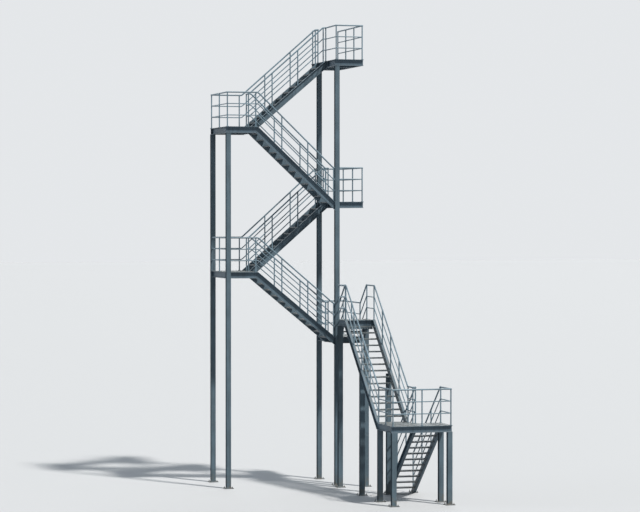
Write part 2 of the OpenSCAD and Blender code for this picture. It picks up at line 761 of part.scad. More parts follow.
module lower_right_landing_guards() {
  x0 = column_spacing + half_col + weld_gap;
  color(RAIL) translate([0, 0, lower_right_level]) {
    panel_x(x0, rail_right, [rail_right], rail_front);
    panel_x(x0, rail_right, [rail_right], rail_back);
    panel_y(rail_front + butt, rail_back - butt, between(rail_front, rail_back), rail_right);
    panel_y(lane_rail_front, lane_rail_back, [lane_rail_front, lane_rail_back], post_right_edge);
  }
}

module base_landing_guards() {
  x0 = column_spacing + half_col + weld_gap;
  y0 = link_y1 + link_run + rail_in;
  color(RAIL) translate([0, 0, base_level]) {
    panel_x(x0, rail_right, [rail_right], rail_back);
    panel_y(y0, rail_back - butt, concat([y0], between(y0, rail_back)), rail_right);
    panel_y(lane_rail_front, back_col_y - half_col - weld_gap, [lane_rail_front, lane_rail_back],
            post_right_edge);
    translate([link_post_x, y0, 0]) bar([[0, 0], [0, guard_h]], post_d);
  }
}

module link_platform_guards() {
  y0 = link_y0 + rail_in;
  y1 = link_y1 - rail_in;
  x0 = long_x0 + rail_in;
  color(RAIL) translate([0, 0, link_level]) {
    panel_y(y0, y1, [y0, y1], x0);
    panel_y(y0, y1, [y0, y1], rail_right);
    panel_x(x0 + butt, link_post_x, [link_post_x], y1);
  }
}

module turning_landing_guards() {
  x0 = long_x0 + rail_in;
  x1 = ground_x1 - rail_in;
  y0 = turning_y0 + rail_in;
  y1 = turning_y1 - rail_in;
  y2 = turning_y2 - rail_in;
  xm = ground_x0 + rail_in;
  color(RAIL) translate([0, 0, turning_level]) {
    panel_x(x0, x1, concat([x0], between(x0, x1), [x1]), y0);
    panel_y(y0 + butt, y2, concat(between(y0, y2), [y2]), x0);
    panel_y(y0 + butt, y1, [y1], x1);
    panel_y(y1, y2, [y1, y2], rail_right);
    panel_x(rail_right + butt, xm, [xm], y1);
  }
}

column(0, 0, upper_left_level - frame_drop, left_joints);  // front_left_column
column(0, back_col_y, upper_left_level - frame_drop, left_joints);  // back_left_column
column(column_spacing, 0, top_level - frame_drop, front_right_joints);  // front_right_column
column(column_spacing, back_col_y, top_level - frame_drop, back_right_joints);  // back_right_column
long_flight_legs();
link_platform_legs();
turning_landing_legs();
base_plates();
top_landing_frame();
left_landing_frame(upper_left_level, top_drop, upper_drop, false);  // upper_left_landing_frame
right_landing_frame(lower_right_level, -mitre(run, upper_drop), mitre(run, middle_drop), true);  // lower_right_landing_frame
left_landing_frame(lower_left_level, middle_drop, lower_drop, true);  // lower_left_landing_frame
right_landing_frame(base_level, -mitre(run, lower_drop), 0, true);  // base_landing_frame
link_platform_frame();
turning_landing_frame();
tower_decks();
link_platform_deck();
turning_landing_deck();
top_flight_stringers();
upper_flight_stringers();
middle_flight_stringers();
lower_flight_stringers();
link_flight_stringers();
long_flight_stringers();
ground_flight_stringers();
top_flight_treads();
upper_flight_treads();
middle_flight_treads();
lower_flight_treads();
link_flight_treads();
long_flight_treads();
ground_flight_treads();
top_flight_guards();
upper_flight_guards();
middle_flight_guards();
lower_flight_guards();
link_flight_guards();
long_flight_guards();
ground_flight_guards();
top_landing_guards();
left_landing_guards(upper_left_level, false);  // upper_left_landing_guards
lower_right_landing_guards();
left_landing_guards(lower_left_level, true);  // lower_left_landing_guards
base_landing_guards();
link_platform_guards();
turning_landing_guards();
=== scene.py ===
"""Looks of the fire escape stair tower: round pipe guards, the pattern of the checker plate, bolts,
welds, worn paint and light. Metres, +Z up, in the frame of the CAD."""

import math

import bpy
from mathutils import Matrix, Vector


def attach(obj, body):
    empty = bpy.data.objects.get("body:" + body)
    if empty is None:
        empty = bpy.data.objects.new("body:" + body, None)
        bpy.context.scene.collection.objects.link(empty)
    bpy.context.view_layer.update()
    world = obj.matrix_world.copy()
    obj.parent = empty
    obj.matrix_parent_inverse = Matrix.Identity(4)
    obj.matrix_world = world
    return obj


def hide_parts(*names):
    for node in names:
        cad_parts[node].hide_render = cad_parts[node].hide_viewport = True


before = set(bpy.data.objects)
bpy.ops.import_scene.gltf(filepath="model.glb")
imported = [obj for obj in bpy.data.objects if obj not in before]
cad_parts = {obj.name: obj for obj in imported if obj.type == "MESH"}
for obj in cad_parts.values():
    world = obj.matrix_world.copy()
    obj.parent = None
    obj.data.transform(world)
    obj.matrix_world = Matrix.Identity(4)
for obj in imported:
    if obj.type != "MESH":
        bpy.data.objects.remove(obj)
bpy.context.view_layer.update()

# ---------------------------------------------------------------- sizes, as in the CAD source
TOP, UPPER_LEFT, LOWER_RIGHT, LOWER_LEFT = 14.090, 11.840, 9.385, 7.080
LINK, BASE, TURNING, GROUND = 5.520, 4.910, 2.460, 0.0
COLUMN_SPACING = 3.700
LANE_W, GROUND_LANE_W, LANE_GAP = 1.040, 0.910, 0.200
LEFT_EDGE, RIGHT_LANDING_W, TOP_REACH = 1.000, 0.975, 0.650
LINK_GAP, LINK_DEPTH, LINK_CLEAR = 0.460, 0.880, 0.015
LINK_RUN, LONG_RUN, GROUND_RUN = 0.690, 3.520, 2.880
TURNING_REACH, TURNING_DEPTH, FLIGHT_GAP, LONG_LEG_AT = 0.480, 1.060, 0.006, 1.660
CHANNEL_H, CHANNEL_W, CHANNEL_WEB, CHANNEL_FLANGE = 0.200, 0.080, 0.008, 0.011
COLUMN_W, COLUMN_WEB, COLUMN_FLANGE, COLUMN_ROOT = 0.150, 0.007, 0.010, 0.011
DECK_T, DECK_GAP = 0.006, 0.003
TREAD_FOLD, TREAD_OVERLAP = 0.040, 0.025
PLATE_STRINGER_T, CAP_T, BASE_PLATE_T = 0.012, 0.012, 0.020
ANCHOR_SPACING = 0.220
FOOT_PLATE_W, FOOT_PLATE_PAST, FOOT_HOLE_IN = 0.200, 0.035, 0.025
GUARD_H, GUARD_RAILS = 1.120, 3
EDGE_POST_IN, END_POST_OUT, WELD_GAP = 0.080, 0.050, 0.0005
CAD_POST_R = 0.021

# plan lines of the tower
HALF_COL = COLUMN_W / 2
LEFT_X, FRONT_Y = -HALF_COL, -HALF_COL
BACK_Y = FRONT_Y + 2 * LANE_W + LANE_GAP
BACK_COL_Y = BACK_Y - HALF_COL
FRONT_LANE_IN, BACK_LANE_IN = FRONT_Y + LANE_W, BACK_Y - LANE_W
RIGHT_X0 = COLUMN_SPACING - HALF_COL
RIGHT_X1 = RIGHT_X0 + RIGHT_LANDING_W
TOP_BACK_Y = BACK_Y + TOP_REACH
RUN = RIGHT_X0 - LEFT_EDGE

# plan lines of the link platform and the lower stair
LINK_Y1 = FRONT_Y - LINK_GAP
LINK_Y0 = LINK_Y1 - LINK_DEPTH
LINK_FAR = RIGHT_X1 - (COLUMN_SPACING + HALF_COL + LINK_CLEAR) - PLATE_STRINGER_T
LONG_X0 = RIGHT_X1 - LANE_W
TURNING_Y2 = LINK_Y0 - LONG_RUN
TURNING_Y1 = TURNING_Y2 - TURNING_REACH
TURNING_Y0 = TURNING_Y1 - TURNING_DEPTH
GROUND_X0 = RIGHT_X1 + FLIGHT_GAP
GROUND_X1 = GROUND_X0 + GROUND_LANE_W

# the ground flight's foot, which is cut off level on its plates
GROUND_SLOPE = math.atan2(TURNING, GROUND_RUN)
FOOT_LEN = CHANNEL_H / math.sin(GROUND_SLOPE)
FOOT_Y = (TURNING_Y1 + GROUND_RUN - (BASE_PLATE_T + DECK_T) / math.tan(GROUND_SLOPE)
          - FOOT_LEN / 2)
FOOT_PLATE_L = FOOT_LEN + 2 * FOOT_PLATE_PAST
GROUND_END = GROUND_RUN - FOOT_LEN / 2

# all that stands on a base plate of its own
TOWER_COLUMNS = [(x, y) for x in (0, COLUMN_SPACING) for y in (0, BACK_COL_Y)]
LEG_X = (LONG_X0 + HALF_COL, RIGHT_X1 - HALF_COL)
LEG_Y = (LINK_Y0 - LONG_LEG_AT, LINK_Y1 - HALF_COL)
TURNING_LEG_X = GROUND_X1 - HALF_COL
TURNING_LEG_Y = TURNING_Y1 - CHANNEL_H * math.tan(GROUND_SLOPE / 2) - HALF_COL - DECK_GAP
TURNING_LEGS = [(LEG_X[0], TURNING_Y0 + HALF_COL), (TURNING_LEG_X, TURNING_Y0 + HALF_COL),
                (TURNING_LEG_X, TURNING_LEG_Y), (LEG_X[0], TURNING_Y2 - HALF_COL)]
LEGS = TOWER_COLUMNS + [(x, y) for x in LEG_X for y in LEG_Y] + TURNING_LEGS

# round pipes, and the lines of the guards over the middle of the channels' flanges
TOP_RAIL_R, MID_RAIL_R, POST_R = 0.02415, 0.0172, 0.0212
TOP_RAIL_SIDES, MID_RAIL_SIDES, POST_SIDES = 16, 12, 14
RAIL_IN = CHANNEL_W / 2
RAIL_FRONT, RAIL_BACK = FRONT_Y + RAIL_IN, BACK_Y - RAIL_IN
RAIL_LEFT, RAIL_RIGHT = LEFT_X + RAIL_IN, RIGHT_X1 - RAIL_IN
RAIL_LONG = LONG_X0 + RAIL_IN
LANE_RAIL_FRONT, LANE_RAIL_BACK = FRONT_LANE_IN - RAIL_IN, BACK_LANE_IN + RAIL_IN
POST_LEFT_EDGE, POST_RIGHT_EDGE = LEFT_EDGE - EDGE_POST_IN, RIGHT_X0 + RAIL_IN
LINK_POST_X = RIGHT_X1 - LINK_FAR + POST_R
BAY = (RIGHT_X0 - END_POST_OUT - POST_LEFT_EDGE) / 3
# from a post's or a column's axis to the end of a rail that is welded to it
BUTT, AT_COLUMN = POST_R + WELD_GAP, HALF_COL + WELD_GAP

UP = Vector((0, 0, 1))

# ---------------------------------------------------------------- mesh building
SHARP = 32
# a trimmed pipe end's chamfer: the share of the radius that is left, and its length
TRIM_LEFT, TRIM_LEN = 0.86, 0.0022
# bends of the rails: their radius, the share of a short stretch that a bend may take up, the
# angle of one step and the smallest angle that is bent at all
BEND_R, BEND_SHARE, BEND_STEP, BEND_LEAST = 0.12, 0.85, math.radians(10), math.radians(2)
# weld beads: their sides, the step between the points of a seam, and the waves that make them
# uneven, as a share of their size and an angle from point to point
BEAD_SIDES, SEAM_STEP, WAVES = 5, 0.018, ((0.16, 2.4), (0.08, 5.1))
# discs of a fastener: radius, underside, top, sides and chamfer, in shares of its diameter
HEAD_DISCS = [(1.02, 0.0, 0.16, 14, 0.0), (0.9, 0.12, 0.82, 6, 0.12)]
NUT_DISCS = [(1.05, 0.0, 0.16, 14, 0.0), (0.9, 0.12, 0.98, 6, 0.10)]
THREAD_R, THREAD_FROM, THREAD_SIDES, THREAD_CHAMFER = 0.5, 0.9, 10, 0.08


class Build:
    """Collects the faces of one piece."""

    def __init__(self):
        self.points, self.faces, self.slots = [], [], []
        self.material = 0

    def add(self, points, faces):
        first = len(self.points)
        self.points += [tuple(p) for p in points]
        self.faces += [tuple(first + i for i in face) for face in faces]
        self.slots += [self.material] * len(faces)

    def make(self, name, paints, replaces=(), sharp=SHARP):
        mesh = bpy.data.meshes.new(name)
        mesh.from_pydata(self.points, [], self.faces)
        mesh.validate()
        for paint in paints:
            mesh.materials.append(PAINTS[paint].material)
        mesh.polygons.foreach_set("material_index", self.slots[: len(mesh.polygons)])
        mesh.polygons.foreach_set("use_smooth", [True] * len(mesh.polygons))
        mesh.set_sharp_from_angle(angle=math.radians(sharp))
        mesh.update()
        piece = bpy.data.objects.new(name, mesh)
        bpy.context.scene.collection.objects.link(piece)
        if replaces:
            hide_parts(*replaces)
        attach(piece, "root")
        return piece


def skin(b, rings, closed=False):
    """Faces from ring to ring, and over the first and the last one unless the rings close."""
    sides, total = len(rings[0]), len(rings)
    faces = []
    for i in range(total if closed else total - 1):
        a, c = i * sides, ((i + 1) % total) * sides
        faces += [(a + k, a + (k + 1) % sides, c + (k + 1) % sides, c + k) for k in range(sides)]
    if not closed:
        faces.append(tuple(range(sides - 1, -1, -1)))
        faces.append(tuple(range((total - 1) * sides, total * sides)))
    b.add([p for ring in rings for p in ring], faces)


def polygon(sides):
    """Corners of a regular polygon of radius 1."""
    turns = [2 * math.pi * k / sides for k in range(sides)]
    return [(math.cos(turn), math.sin(turn)) for turn in turns]


def circle(centre, way, r, count=14):
    """Points of a circle about way."""
    way = Vector(way).normalized()
    across = way.orthogonal().normalized()
    other = way.cross(across)
    return [Vector(centre) + (across * u + other * v) * r for u, v in polygon(count)]


def corners(x, y, dx, dy):
    """Four points about a centre, each with its side in X and in Y."""
    return [(x + sx * dx, y + sy * dy, sx, sy) for sx in (-1, 1) for sy in (-1, 1)]


def trim(centre, ring, way):
    """The small ring past a pipe's end that gives it a chamfer."""
    return [centre + (p - centre) * TRIM_LEFT + way * TRIM_LEN for p in ring]


def tube(b, path, radius, sides, closed, trimmed):
    """A pipe along the path, mitred where it bends. The radius is one for all or a function of
    the point's index, and trimmed says for both ends whether they have a chamfer."""
    path = [Vector(p) for p in path]
    n = len(path)
    count = n if closed else n - 1
    ways = [(path[(i + 1) % n] - path[i]).normalized() for i in range(count)]
    across = ways[0].orthogonal().normalized()
    if abs(ways[0].z) < 0.9:
        across = ways[0].cross(UP).normalized()
    rings = []
    for i in range(n):
        ahead = ways[min(i, count - 1)]
        behind = ways[i - 1] if (i or closed) else ahead
        if i and i < count:
            across = behind.rotation_difference(ahead) @ across
        other = ahead.cross(across)
        cut = ahead + behind
        r = radius(i) if callable(radius) else radius
        ring = []
        for k in range(sides):
            turn = 2 * math.pi * (k + 0.5) / sides
            out = (across * math.cos(turn) + other * math.sin(turn)) * r
            ring.append(path[i] + out - ahead * (out.dot(cut) / ahead.dot(cut)))
        rings.append(ring)
    first = [trim(path[0], rings[0], -ways[0])] if trimmed[0] else []
    last = [trim(path[-1], rings[-1], ways[-1])] if trimmed[1] else []
    skin(b, first + rings + last, closed)


def bent(path):
    """The path with a round bend at each of its inner points."""
    path = [Vector(p) for p in path]
    out = [path[0]]
    for a, at, c in zip(path, path[1:], path[2:]):
        before, after = at - a, c - at
        angle = before.angle(after)
        if angle < BEND_LEAST:
            out.append(at)
            continue
        reach = min(BEND_R * math.tan(angle / 2),
                    BEND_SHARE * before.length, BEND_SHARE * after.length)
        r = reach / math.tan(angle / 2)
        axis = before.cross(after).normalized()
        start = at - before.normalized() * reach
        centre = start + axis.cross(before).normalized() * r
        steps = max(2, math.ceil(angle / BEND_STEP))
        out += [centre + Matrix.Rotation(angle * k / steps, 3, axis) @ (start - centre)
                for k in range(steps + 1)]
    out.append(path[-1])
    return out


def bead(b, path, size, closed=True):
    """A weld bead along points, a little uneven as a hand weld is."""
    def radius(i):
        return size * (1 + sum(share * math.sin(i * turn) for share, turn in WAVES))

    tube(b, path, radius, BEAD_SIDES, closed, (not closed, not closed))


def stepped(path, step, closed=False):
    """The path with points added so that a weld along it can be uneven."""
    path = [Vector(p) for p in path]
    out = []
    for a, c in zip(path, path[1:] + path[:1] if closed else path[1:]):
        n = max(1, round((c - a).length / step))
        out += [a.lerp(c, k / n) for k in range(n)]
    return out if closed else out + [path[-1]]


def seam(b, path, size):
    """A bead along an open path."""
    bead(b, stepped(path, SEAM_STEP), size, closed=False)


def box(b, low, high, chamfer):
    """A box with its four upright edges chamfered."""
    (x0, y0, z0), (x1, y1, z1) = low, high
    c = chamfer
    plan = [(x0 + c, y0), (x1 - c, y0), (x1, y0 + c), (x1, y1 - c),
            (x1 - c, y1), (x0 + c, y1), (x0, y1 - c), (x0, y0 + c)]
    skin(b, [[(x, y, z) for x, y in plan] for z in (z0, z1)])


def fastener(b, position, axis, d, turn, discs):
    """Discs about an axis, turned by an angle, with their sizes in shares of the diameter d."""
    place = (Matrix.Translation(Vector(position))
             @ UP.rotation_difference(Vector(axis).normalized()).to_matrix().to_4x4()
             @ Matrix.Rotation(turn, 4, "Z"))
    for r, z0, z1, sides, chamfer in discs:
        levels = [(r, z0), (r, z1 - chamfer), (r - chamfer, z1)] if chamfer else [(r, z0), (r, z1)]
        skin(b, [[place @ Vector((u * q * d, v * q * d, z * d)) for u, v in polygon(sides)]
                 for q, z in levels])


def bolt(b, position, axis, d, turn):
    """A hexagon bolt head on its washer, on a face whose outward normal is axis."""
    fastener(b, position, axis, d, turn, HEAD_DISCS)


def stud(b, position, axis, d, turn, out):
    """A threaded stud that stands out of its nut and washer."""
    thread = (THREAD_R, THREAD_FROM, out / d, THREAD_SIDES, THREAD_CHAMFER)
    fastener(b, position, axis, d, turn, NUT_DISCS + [thread])


# ---------------------------------------------------------------- flights
TO_LEFT, TO_RIGHT, TO_FRONT, TO_BACK = (-1, 0), (1, 0), (0, -1), (0, 1)
# how a stringer is cut off at its upper and at its lower end
MITRED, FROM_COLUMN, TO_COLUMN, TO_FOOT = (
    ("mitre", "mitre"), ("plumb", "mitre"), ("mitre", "plumb"), ("mitre", "foot"))
# the two faces that a tread runs between, across the flight
LANE, GROUND_LANE = ((CHANNEL_W, width - CHANNEL_W) for width in (LANE_W, GROUND_LANE_W))
LINK_LANE = (CHANNEL_W, LINK_FAR)


class Flight:
    """A flight of stairs. Its own frame starts at its near side on the upper floor, with x down
    the flight, y across it and z up."""

    def __init__(self, origin, along, across, run, foot, risers, treads, sides, cuts=()):
        self.origin, self.along, self.across = origin, along, across
        self.run, self.drop = run, origin[2] - foot
        self.risers, self.treads = risers, treads
        self.sides, self.cuts = sides, cuts

    def at(self, x, y, z):
        """A point of the flight's own frame in the shared one."""
        (x0, y0, z0), (ax, ay), (bx, by) = self.origin, self.along, self.across
        return Vector((x0 + ax * x + bx * y, y0 + ay * x + by * y, z0 + z))

    def tread_places(self):
        """Back, front and height of each tread."""
        going = self.run / self.risers
        for i in range(1, self.treads + 1):
            back = (i - 1) * going - (TREAD_OVERLAP if i > 1 else 0)
            yield back, i * going, -i * self.drop / self.risers


FLIGHTS = {
    "top": Flight((RIGHT_X0, BACK_LANE_IN, TOP), TO_LEFT, TO_BACK, RUN, UPPER_LEFT, 11, 11,
                  LANE, (MITRED, FROM_COLUMN)),
    "upper": Flight((LEFT_EDGE, FRONT_Y, UPPER_LEFT), TO_RIGHT, TO_BACK, RUN, LOWER_RIGHT, 12, 12,
                    LANE, (TO_COLUMN, MITRED)),
    "middle": Flight((RIGHT_X0, BACK_LANE_IN, LOWER_RIGHT), TO_LEFT, TO_BACK, RUN, LOWER_LEFT,
                     11, 11, LANE, (MITRED, FROM_COLUMN)),
    "lower": Flight((LEFT_EDGE, FRONT_Y, LOWER_LEFT), TO_RIGHT, TO_BACK, RUN, BASE, 11, 11,
                    LANE, (TO_COLUMN, MITRED)),
    "long": Flight((LONG_X0, LINK_Y0, LINK), TO_FRONT, TO_RIGHT, LONG_RUN, TURNING, 16, 16,
                   LANE, (MITRED, MITRED)),
    "ground": Flight((GROUND_X1, TURNING_Y1, TURNING), TO_BACK, TO_LEFT, GROUND_RUN, GROUND,
                     12, 11, GROUND_LANE, (TO_FOOT, TO_FOOT)),
    "link": Flight((RIGHT_X1, LINK_Y1, LINK), TO_BACK, TO_LEFT, LINK_RUN, BASE, 3, 2, LINK_LANE),
}


# ---------------------------------------------------------------- paint
def nodes_of(material):
    """Function that adds a node to the material, with its settings and its inputs."""
    tree = material.node_tree
    tree.nodes.clear()

    def node(kind, inputs=None, **settings):
        made = tree.nodes.new("ShaderNode" + kind)
        for key, value in settings.items():
            setattr(made, key, value)
        for key, value in (inputs or {}).items():
            if isinstance(value, bpy.types.NodeSocket):
                tree.links.new(value, made.inputs[key])
            else:
                made.inputs[key].default_value = value
        return made

    return node


def mixed(node, factor, a, b):
    """Colour a where the factor is 0, and b where it is 1."""
    return node("Mix", {0: factor, 6: a, 7: b}, data_type="RGBA").outputs[2]


def srgb(r, g, b):
    """Linear colour of an sRGB colour in 0 to 255."""
    def part(v):
        v /= 255
        return v / 12.92 if v <= 0.04045 else ((v + 0.055) / 1.055) ** 2.4
    return (part(r), part(g), part(b), 1)


def shade(colour, factor, lift=0.0):
    """A linear colour made darker or lighter."""
    return [min(1, c * factor + lift) for c in colour[:3]] + [1]


class Paint:
    """Weathered paint on steel: patchy colour, rain streaks, dust that lies, chips and rust."""

    def __init__(self, name, colour, dust=0.5, rust=0.3, rough=0.52, wear=0.5):
        self.material = bpy.data.materials.new(name)
        self.material.use_nodes = True
        self.node = node = nodes_of(self.material)
        place = node("TexCoord").outputs["Object"]
        normal = node("NewGeometry").outputs["Normal"]
        height_z, normal_z = (node("SeparateXYZ", {0: v}).outputs["Z"] for v in (place, normal))

        # patches of paint that has faded unevenly
        broad = self.noise(place, scale=0.9, detail=4, rough=0.6)
        fine = self.noise(place, scale=14.0, detail=5, rough=0.65)
        base = mixed(node, self.span(broad, 0.32, 0.68), shade(colour, 0.80), shade(colour, 1.16))
        chalk = self.times(self.span(fine, 0.52, 0.78), 0.35)
        base = mixed(node, chalk, base, shade(colour, 0.55, 0.16))

        # rain streaks, long in Z, on faces that stand
        streaks = self.noise(self.stretched(place, 17.0, 0.75), scale=1.0, detail=3, rough=0.6)
        stands = self.span(self.calc("ABSOLUTE", normal_z), 0.55, 0.25)
        grime = self.times(self.span(streaks, 0.47, 0.70), stands)
        base = mixed(node, self.times(grime, 0.55), base, shade(colour, 0.42, 0.012))

        # mud that rain has splashed up from the ground
        splash = self.span(self.noise(place, scale=9.0, detail=6, rough=0.75), 0.40, 0.62)
        splash = self.times(self.span(height_z, 0.55, 0.02), splash)
        base = mixed(node, self.times(splash, 0.62), base, srgb(112, 102, 86))

        # dust on faces that look up, thicker in patches
        dusty = self.span(self.noise(place, scale=2.6, detail=6, rough=0.7), 0.34, 0.72)
        dusty = self.times(self.span(normal_z, 0.35, 0.85), dusty)
        base = mixed(node, self.times(dusty, dust), base, srgb(123, 120, 112))

        # chips and rust in small sharp spots, more of them where rain collects, and rust runs
        spots = self.noise(place, scale=38.0, detail=6, rough=0.72)
        where = self.span(self.noise(place, scale=1.7, detail=3, rough=0.5),
                          0.46 - 0.22 * rust, 0.70 - 0.22 * rust)
        chips = self.times(self.span(spots, 0.650 - 0.08 * rust, 0.70 - 0.07 * rust), where)
        rust_colour = mixed(node, self.noise(place, scale=90.0, detail=3, rough=0.6),
                            srgb(74, 38, 20), srgb(148, 84, 44))
        base = mixed(node, self.times(chips, min(1.0, rust * 1.6)), base, rust_colour)
        runs = self.noise(self.stretched(place, 46.0, 1.6), scale=1.0, detail=2, rough=0.5)
        stain = self.times(self.times(self.span(runs, 0.60, 0.78), stands), where)
        base = mixed(node, self.times(stain, 0.34 * rust), base, srgb(120, 78, 50))

        # edges where the paint has rubbed thin
        if wear:
            rounded = node("Bevel", {"Radius": 0.006}, samples=4).outputs[0]
            flush = node("VectorMath", {0: rounded, 1: normal}, operation="DOT_PRODUCT")
            edge = self.span(self.calc("SUBTRACT", 1.0, flush.outputs["Value"]), 0.015, 0.16)
            edge = self.times(edge, self.span(fine, 0.40, 0.62))
            base = mixed(node, self.times(edge, wear), base, shade(colour, 1.5, 0.05))

        roughness = self.calc("ADD", self.times(fine, 0.24), rough - 0.12)
        roughness = self.calc("ADD", roughness, self.times(chips, 0.25))
        grain = self.times(self.noise(place, scale=55.0, detail=4, rough=0.6), 0.25)
        bump = node("Bump", {"Strength": 0.35, "Distance": 0.004, "Height": grain}).outputs[0]
        shader = node("BsdfPrincipled", {"Base Color": base, "Roughness": roughness,
                                         "Normal": bump, "Specular IOR Level": 0.42})
        node("OutputMaterial", {"Surface": shader.outputs[0]})

    def noise(self, place, scale, detail, rough):
        return self.node("TexNoise", {"Vector": place, "Scale": scale, "Detail": detail,
                                      "Roughness": rough}).outputs[0]

    def stretched(self, place, scale, scale_z):
        """Coordinates scaled more across than in Z, so that a noise on them is long in Z."""
        return self.node("Mapping", {"Vector": place, "Scale": (scale, scale, scale_z)}).outputs[0]

    def calc(self, operation, a, b=0.0):
        return self.node("Math", {0: a, 1: b}, operation=operation).outputs[0]

    def times(self, a, b):
        return self.calc("MULTIPLY", a, b)

    def span(self, value, low, high):
        """0 at low, 1 at high, smooth between."""
        return self.node("MapRange", {"Value": value, "From Min": low, "From Max": high},
                         interpolation_type="SMOOTHSTEP").outputs[0]


PAINTS = {
    "column": Paint("paint_column", srgb(90, 109, 120), dust=0.4, rust=0.22),
    "frame": Paint("paint_frame", srgb(87, 106, 119), dust=0.55, rust=0.3),
    "stringer": Paint("paint_stringer", srgb(93, 112, 124), dust=0.5, rust=0.3),
    # the guards wear the same paint as the frame, but written lighter: a painted highlight that
    # stands for light catching the tops of the round rails
    "guard": Paint("paint_guard", srgb(117, 140, 153), dust=0.35, rust=0.25, rough=0.42, wear=0),
    "plate": Paint("paint_checker_plate", srgb(94, 103, 107), dust=0.7, rust=0.35),
    "bar": Paint("paint_worn_bars", srgb(132, 138, 139), dust=0.12, rust=0.35, rough=0.38,
                 wear=0),
    "base": Paint("paint_base_plate", srgb(86, 100, 108), dust=0.7, rust=0.8),
    "weld": Paint("paint_weld", srgb(88, 104, 114), dust=0.3, rust=0.6, rough=0.5, wear=0),
    "fastener": Paint("paint_fastener", srgb(92, 104, 110), dust=0.3, rust=0.9, rough=0.45,
                      wear=0),
}


def paint_of(name):
    """The paint of a CAD node."""
    if name.endswith(("_treads", "_deck", "_decks")):
        return "plate"
    if name == "base_plates":
        return "base"
    if name.endswith(("_column", "_legs")):
        return "column"
    return "stringer" if name.endswith("_stringers") else "frame"


for name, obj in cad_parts.items():
    if obj.type == "MESH":
        obj.data.materials.clear()
        obj.data.materials.append(PAINTS[paint_of(name)].material)


# ---------------------------------------------------------------- guards
RAILS = [(GUARD_H * k / GUARD_RAILS, k == GUARD_RAILS) for k in range(1, GUARD_RAILS + 1)]
# at each kind of rail end, for a middle rail and for the top one: how far the rail runs past the
# end of its line, and how far behind the rail's end its bead lies
RAIL_ENDS = {"free": ((0.0, None), (TOP_RAIL_R, None)),
             "post": ((0.006, 0.005), (BUTT - TOP_RAIL_R, 0.0)),
             "face": ((0.001, 0.003), (0.001, 0.003))}
# how far that bead's middle lies off the rail, and its size
RAIL_END_BEADS = {"post": (0.0008, 0.0036), "face": (0.0015, 0.0045)}
# a rail's bead at a post that it passes: how far it lies off the rail and off the post, its size
RAIL_BEAD_OFF, RAIL_BEAD_CLEAR, RAIL_BEAD = 0.0008, 0.001, 0.0032
# the steepest rail's way in plan that such a bead is set back for, and room for rounding
LEAST_PLAN_WAY, TINY = 0.3, 1e-6
# a post's beads at its foot and under the top rail: the share of its radius, how far above the
# foot, or below the rail's axis in shares of the rail's radius, and their size
FOOT_BEAD_OUT, FOOT_BEAD_UP, POST_FOOT_BEAD = 1.06, 0.001, 0.0036
TOP_BEAD_OUT, TOP_BEAD_DOWN, POST_TOP_BEAD = 0.98, 0.62, 0.0040
# a post's foot plate and the bolts that hold it down
PLATE_HALF, PLATE_T, PLATE_CHAMFER = 0.038, 0.008, 0.007
PLATE_BOLT_AT, PLATE_BOLT_D = 0.028, 0.0085
POST_FEET = []
BOTH_FREE, BOTH_POSTS = ("free", "free"), ("post", "post")


def post(b, x, y, floor, top, slope=None):
    """A post up into the top rail, on a plate with four bolts. Where slope is given, it stands on
    a stringer whose flange falls by it in X and in Y, without a plate."""
    ring = [(POST_R * u, POST_R * v) for u, v in polygon(POST_SIDES)]
    if slope is None:
        foot = [(dx, dy, floor + PLATE_T) for dx, dy in ring]
    else:
        foot = [(dx, dy, floor - (slope.x * dx + slope.y * dy)) for dx, dy in ring]
    skin(b, [[(x + dx, y + dy, z) for dx, dy, z in foot],
             [(x + dx, y + dy, top) for dx, dy in ring]])
    bead(b, [(x + dx * FOOT_BEAD_OUT, y + dy * FOOT_BEAD_OUT, z + FOOT_BEAD_UP)
             for dx, dy, z in foot], POST_FOOT_BEAD)
    bead(b, [(x + dx * TOP_BEAD_OUT, y + dy * TOP_BEAD_OUT, top - TOP_RAIL_R * TOP_BEAD_DOWN)
             for dx, dy in ring], POST_TOP_BEAD)
    if slope is None:
        POST_FEET.append((x, y, floor))
        box(b, (x - PLATE_HALF, y - PLATE_HALF, floor),
            (x + PLATE_HALF, y + PLATE_HALF, floor + PLATE_T), PLATE_CHAMFER)
        b.material = 1
        for u, v, side_x, side_y in corners(x, y, PLATE_BOLT_AT, PLATE_BOLT_AT):
            bolt(b, (u, v, floor + PLATE_T), UP, PLATE_BOLT_D, (x * 7 + y * 5 + side_x) % 1)
        b.material = 0


def beads_at_posts(b, path, ways, posts):
    """Beads where a rail meets posts, on each side of a post where the rail goes on."""
    for p in posts:
        for i, (a, c, way) in enumerate(zip(path, path[1:], ways)):
            flat = Vector((c.x - a.x, c.y - a.y))
            t = Vector((p.x - a.x, p.y - a.y)).dot(flat) / max(TINY, flat.length_squared)
            if -TINY <= t <= 1 + TINY:
                at, length = a + (c - a) * t, (c - a).length
                behind = math.inf if i else t * length
                ahead = math.inf if i < len(ways) - 1 else (1 - t) * length
                reach = (POST_R / max(LEAST_PLAN_WAY, math.hypot(way.x, way.y))
                         + RAIL_BEAD_CLEAR)
                for side, rest in ((-1, behind), (1, ahead)):
                    if rest > reach:
                        bead(b, circle(at + way * side * reach, way, MID_RAIL_R + RAIL_BEAD_OFF,
                                       MID_RAIL_SIDES), RAIL_BEAD)
                break


